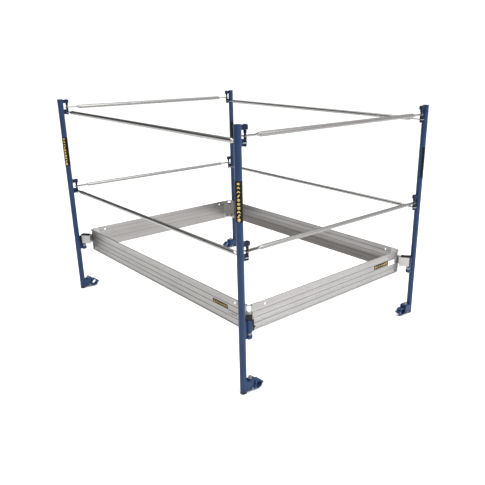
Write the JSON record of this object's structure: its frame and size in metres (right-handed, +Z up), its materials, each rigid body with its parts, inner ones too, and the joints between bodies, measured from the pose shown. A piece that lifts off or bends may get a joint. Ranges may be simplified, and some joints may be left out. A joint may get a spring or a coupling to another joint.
{
  "type": "scaffold guardrail set",
  "caption": "Guardrail set for a rolling scaffold platform: blue tube posts with tube clamps, round aluminium rails with flattened pinned ends, and a lift-out toe board frame.",
  "frame": {"origin": "on the floor, at the centre of the rectangle of the four posts", "axes": "+X along the long side, +Y along the short side, +Z up; front is -Y and right is +X"},
  "size_m": [2.077, 1.5788, 1.454],
  "materials": {
    "blue_paint": "satin",
    "rail_aluminium": "mill",
    "board_aluminium": "mill",
    "zinc_steel": "zinc plated",
    "black_paint": "satin",
    "black_plastic": "matte",
    "label_film": "gloss"
  },
  "bodies": {
    "guardrail_frame": {"post_front_left": "blue_paint", "rail_brackets_front_left": "blue_paint", "toe_board_receiver_front_left": "blue_paint", "clamp_arm_front_left": "blue_paint", "post_front_right": "blue_paint", "rail_brackets_front_right": "blue_paint", "toe_board_receiver_front_right": "blue_paint", "clamp_arm_front_right": "blue_paint", "post_rear_right": "blue_paint", "rail_brackets_rear_right": "blue_paint", "toe_board_receiver_rear_right": "blue_paint", "clamp_arm_rear_right": "blue_paint", "post_rear_left": "blue_paint", "rail_brackets_rear_left": "blue_paint", "toe_board_receiver_rear_left": "blue_paint", "clamp_arm_rear_left": "blue_paint", "post_foot_plugs": "black_plastic", "post_top_plugs": "black_plastic", "clamp_bolts": "zinc_steel", "clamp_cross_pins": "zinc_steel", "clamp_hinge_pins": "zinc_steel", "post_labels": "label_film", "top_rail_front": "rail_aluminium", "top_rail_rear": "rail_aluminium", "top_rail_left": "rail_aluminium", "top_rail_right": "rail_aluminium", "mid_rail_front": "rail_aluminium", "mid_rail_rear": "rail_aluminium", "mid_rail_left": "rail_aluminium", "mid_rail_right": "rail_aluminium"},
    "toe_board_frame": {"toe_board_front": "board_aluminium", "toe_board_rear": "board_aluminium", "toe_board_left": "board_aluminium", "toe_board_right": "board_aluminium", "toe_board_corner_front_left": "board_aluminium", "toe_board_corner_front_right": "board_aluminium", "toe_board_corner_rear_right": "board_aluminium", "toe_board_corner_rear_left": "board_aluminium", "toe_board_hangers": "board_aluminium", "toe_board_hanger_caps": "black_plastic", "toe_board_hanger_pins": "zinc_steel", "toe_board_bolts": "black_paint", "toe_board_rivets": "board_aluminium", "toe_board_labels": "label_film"},
    "clamp_flap_front_left": {"clamp_flap_front_left": "blue_paint"},
    "clamp_nut_front_left": {"clamp_nut_front_left": "zinc_steel"},
    "top_rail_pin_front_left": {"top_rail_pin_front_left": "black_paint"},
    "mid_rail_pin_front_left": {"mid_rail_pin_front_left": "black_paint"},
    "clamp_flap_front_right": {"clamp_flap_front_right": "blue_paint"},
    "clamp_nut_front_right": {"clamp_nut_front_right": "zinc_steel"},
    "top_rail_pin_front_right": {"top_rail_pin_front_right": "black_paint"},
    "mid_rail_pin_front_right": {"mid_rail_pin_front_right": "black_paint"},
    "clamp_flap_rear_right": {"clamp_flap_rear_right": "blue_paint"},
    "clamp_nut_rear_right": {"clamp_nut_rear_right": "zinc_steel"},
    "top_rail_pin_rear_right": {"top_rail_pin_rear_right": "black_paint"},
    "mid_rail_pin_rear_right": {"mid_rail_pin_rear_right": "black_paint"},
    "clamp_flap_rear_left": {"clamp_flap_rear_left": "blue_paint"},
    "clamp_nut_rear_left": {"clamp_nut_rear_left": "zinc_steel"},
    "top_rail_pin_rear_left": {"top_rail_pin_rear_left": "black_paint"},
    "mid_rail_pin_rear_left": {"mid_rail_pin_rear_left": "black_paint"}
  },
  "joints": [
    {"name": "toe_board_lift", "type": "slide", "parent": "guardrail_frame", "child": "toe_board_frame", "axis": [0, 0, 1], "range_m": [0, 0.13]},
    {"name": "top_rail_pin_pull_front_left", "type": "slide", "parent": "guardrail_frame", "child": "top_rail_pin_front_left", "axis": [0, 0, 1], "range_m": [0, 0.055]},
    {"name": "mid_rail_pin_pull_front_left", "type": "slide", "parent": "guardrail_frame", "child": "mid_rail_pin_front_left", "axis": [0, 0, 1], "range_m": [0, 0.055]},
    {"name": "top_rail_pin_pull_front_right", "type": "slide", "parent": "guardrail_frame", "child": "top_rail_pin_front_right", "axis": [0, 0, 1], "range_m": [0, 0.055]},
    {"name": "mid_rail_pin_pull_front_right", "type": "slide", "parent": "guardrail_frame", "child": "mid_rail_pin_front_right", "axis": [0, 0, 1], "range_m": [0, 0.055]},
    {"name": "top_rail_pin_pull_rear_right", "type": "slide", "parent": "guardrail_frame", "child": "top_rail_pin_rear_right", "axis": [0, 0, 1], "range_m": [0, 0.055]},
    {"name": "mid_rail_pin_pull_rear_right", "type": "slide", "parent": "guardrail_frame", "child": "mid_rail_pin_rear_right", "axis": [0, 0, 1], "range_m": [0, 0.055]},
    {"name": "top_rail_pin_pull_rear_left", "type": "slide", "parent": "guardrail_frame", "child": "top_rail_pin_rear_left", "axis": [0, 0, 1], "range_m": [0, 0.055]},
    {"name": "mid_rail_pin_pull_rear_left", "type": "slide", "parent": "guardrail_frame", "child": "mid_rail_pin_rear_left", "axis": [0, 0, 1], "range_m": [0, 0.055]},
    {"name": "clamp_flap_swing_front_left", "type": "hinge", "parent": "guardrail_frame", "child": "clamp_flap_front_left", "pos_m": [-1.003, -0.6505, 0.033], "axis": [-1, 0, 0], "range_deg": [0, 6]},
    {"name": "clamp_nut_travel_front_left", "type": "slide", "parent": "guardrail_frame", "child": "clamp_nut_front_left", "axis": [0, 0, 1], "range_m": [0, 0.0088]},
    {"name": "clamp_flap_swing_front_right", "type": "hinge", "parent": "guardrail_frame", "child": "clamp_flap_front_right", "pos_m": [1.017, -0.6505, 0.033], "axis": [-1, 0, 0], "range_deg": [0, 6]},
    {"name": "clamp_nut_travel_front_right", "type": "slide", "parent": "guardrail_frame", "child": "clamp_nut_front_right", "axis": [0, 0, 1], "range_m": [0, 0.0088]},
    {"name": "clamp_flap_swing_rear_right", "type": "hinge", "parent": "guardrail_frame", "child": "clamp_flap_rear_right", "pos_m": [1.003, 0.6505, 0.033], "axis": [1, 0, 0], "range_deg": [0, 6]},
    {"name": "clamp_nut_travel_rear_right", "type": "slide", "parent": "guardrail_frame", "child": "clamp_nut_rear_right", "axis": [0, 0, 1], "range_m": [0, 0.0088]},
    {"name": "clamp_flap_swing_rear_left", "type": "hinge", "parent": "guardrail_frame", "child": "clamp_flap_rear_left", "pos_m": [-1.017, 0.6505, 0.033], "axis": [1, 0, 0], "range_deg": [0, 6]},
    {"name": "clamp_nut_travel_rear_left", "type": "slide", "parent": "guardrail_frame", "child": "clamp_nut_rear_left", "axis": [0, 0, 1], "range_m": [0, 0.0088]}
  ],
  "couplings": [
    {"joint": "clamp_nut_travel_front_left", "follows": "clamp_flap_swing_front_left", "m_per_rad": 0.084},
    {"joint": "clamp_nut_travel_front_right", "follows": "clamp_flap_swing_front_right", "m_per_rad": 0.084},
    {"joint": "clamp_nut_travel_rear_right", "follows": "clamp_flap_swing_rear_right", "m_per_rad": 0.084},
    {"joint": "clamp_nut_travel_rear_left", "follows": "clamp_flap_swing_rear_left", "m_per_rad": 0.084}
  ]
}
